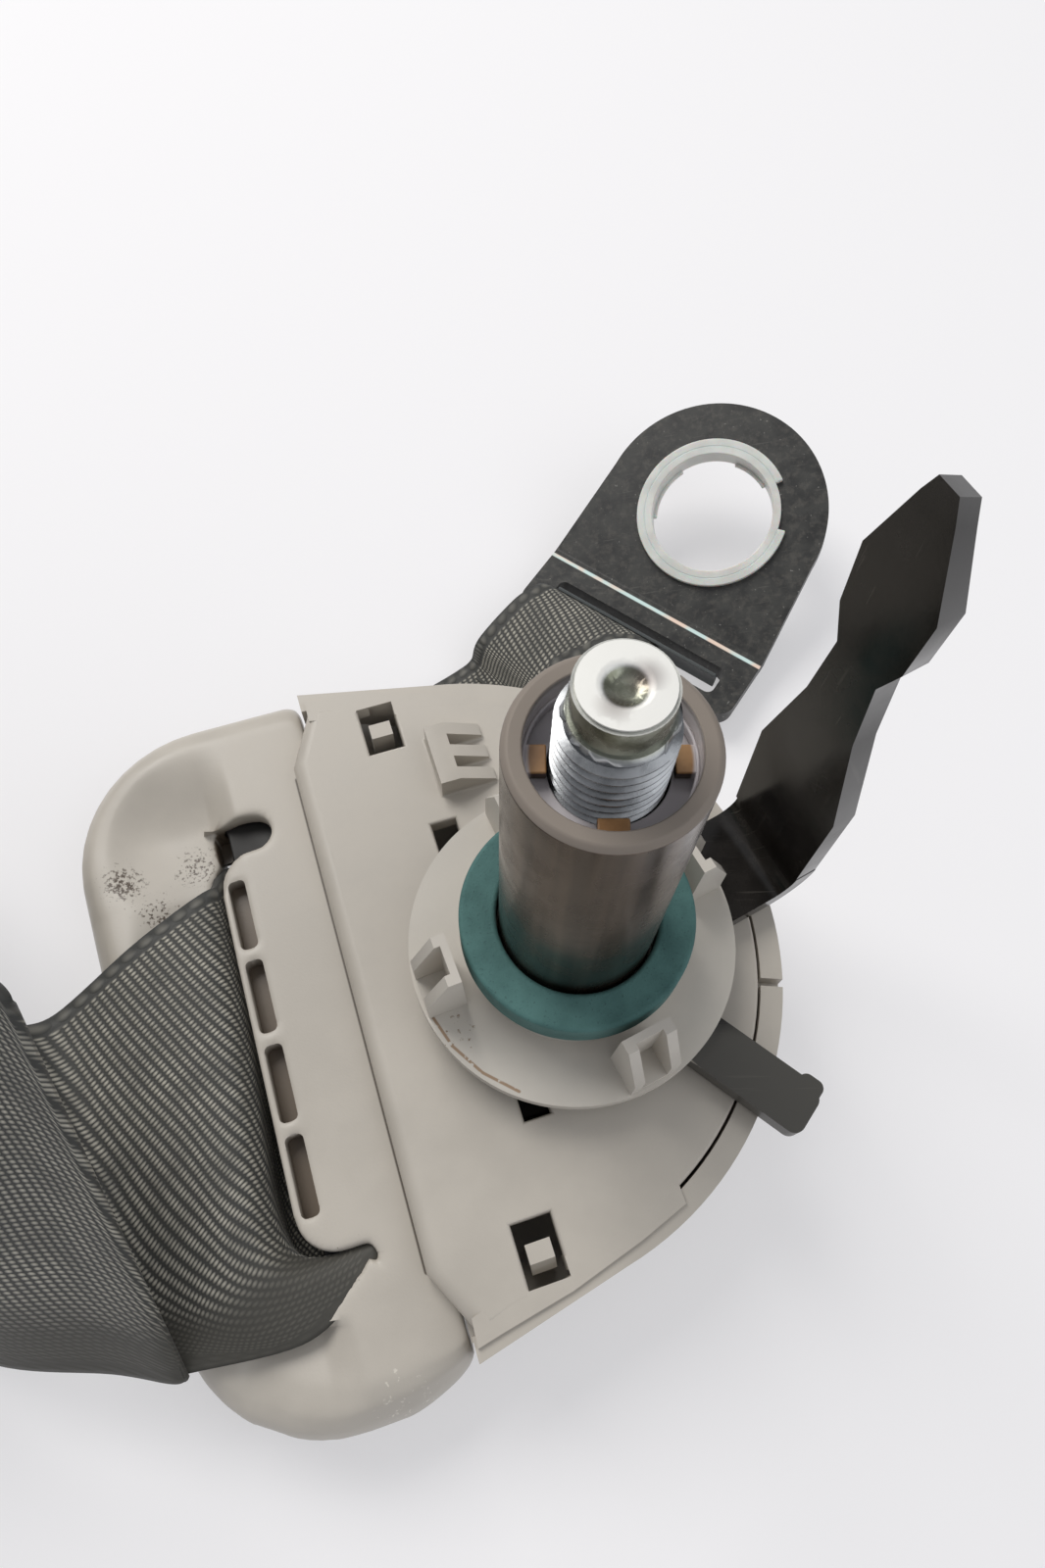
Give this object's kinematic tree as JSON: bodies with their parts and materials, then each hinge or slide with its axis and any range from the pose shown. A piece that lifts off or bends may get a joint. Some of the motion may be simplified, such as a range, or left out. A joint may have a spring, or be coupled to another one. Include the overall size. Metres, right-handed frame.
{
  "type": "seat belt guide loop",
  "caption": "Shoulder belt guide loop with snap covers, a captive swivel bolt in a spacer sleeve, a locating bracket, webbing through its slot and a lap anchor plate on the webbing's end.",
  "frame": {"origin": "on the bolt axis, at the end face of the spacer sleeve that seats on the pillar", "axes": "+Z along the bolt axis, from the front cover towards the pillar; +X towards the cover's round end, +Y towards the lap anchor"},
  "size_m": [0.1918, 0.1482, 0.0943],
  "materials": {
    "cover_plastic": "fine moulded grain, light grey beige",
    "clip_plastic": "smooth moulded, lighter grey",
    "plate_steel": "plain rolled steel",
    "bush_nylon": "satin white",
    "bolt_zinc": "bright zinc plate",
    "sleeve_steel": "dark brown phosphate, worn end face",
    "retainer_plastic": "rust brown",
    "seal_foam": "matt teal",
    "bracket_black": "glossy black coat",
    "webbing": "ribbed polyester webbing, dark grey",
    "tie_band": "woven tie, near black",
    "guard_plastic": "smooth grey",
    "stitch_thread": "dark grey thread",
    "anchor_black": "scratched black coat"
  },
  "bodies": {
    "guide": {"guide_loop": "cover_plastic", "loop_plate": "plate_steel", "rear_cover": "cover_plastic", "front_cover": "cover_plastic", "bolt_cap": "cover_plastic", "pivot_bush": "bush_nylon", "friction_washer": "bush_nylon", "wave_washer": "plate_steel", "webbing": "webbing", "webbing_roll": "webbing", "roll_tie": "tie_band", "wear_guard": "guard_plastic", "lap_stitching": "stitch_thread"},
    "mount": {"spacer_sleeve": "sleeve_steel", "bolt_retainer": "retainer_plastic", "seal_washer": "seal_foam", "clip_ring": "clip_plastic", "locating_bracket": "bracket_black"},
    "bolt": {"anchor_bolt": "bolt_zinc"},
    "lap_anchor": {"anchor_plate": "anchor_black", "anchor_bush": "bush_nylon"}
  },
  "joints": [
    {"name": "guide_swivel", "type": "hinge", "parent": "guide", "child": "mount", "pos_m": [0, 0, -0.066], "axis": [0, 0, 1], "range_deg": [-35, 35]},
    {"name": "bolt_turn", "type": "hinge", "parent": "mount", "child": "bolt", "pos_m": [0, 0, -0.066], "axis": [0, 0, 1], "continuous": true},
    {"name": "lap_anchor_swing", "type": "hinge", "parent": "guide", "child": "lap_anchor", "pos_m": [0.0111, 0.05382, -0.0736], "axis": [0.8271, -0.5621, 0], "range_deg": [0, 70]}
  ]
}
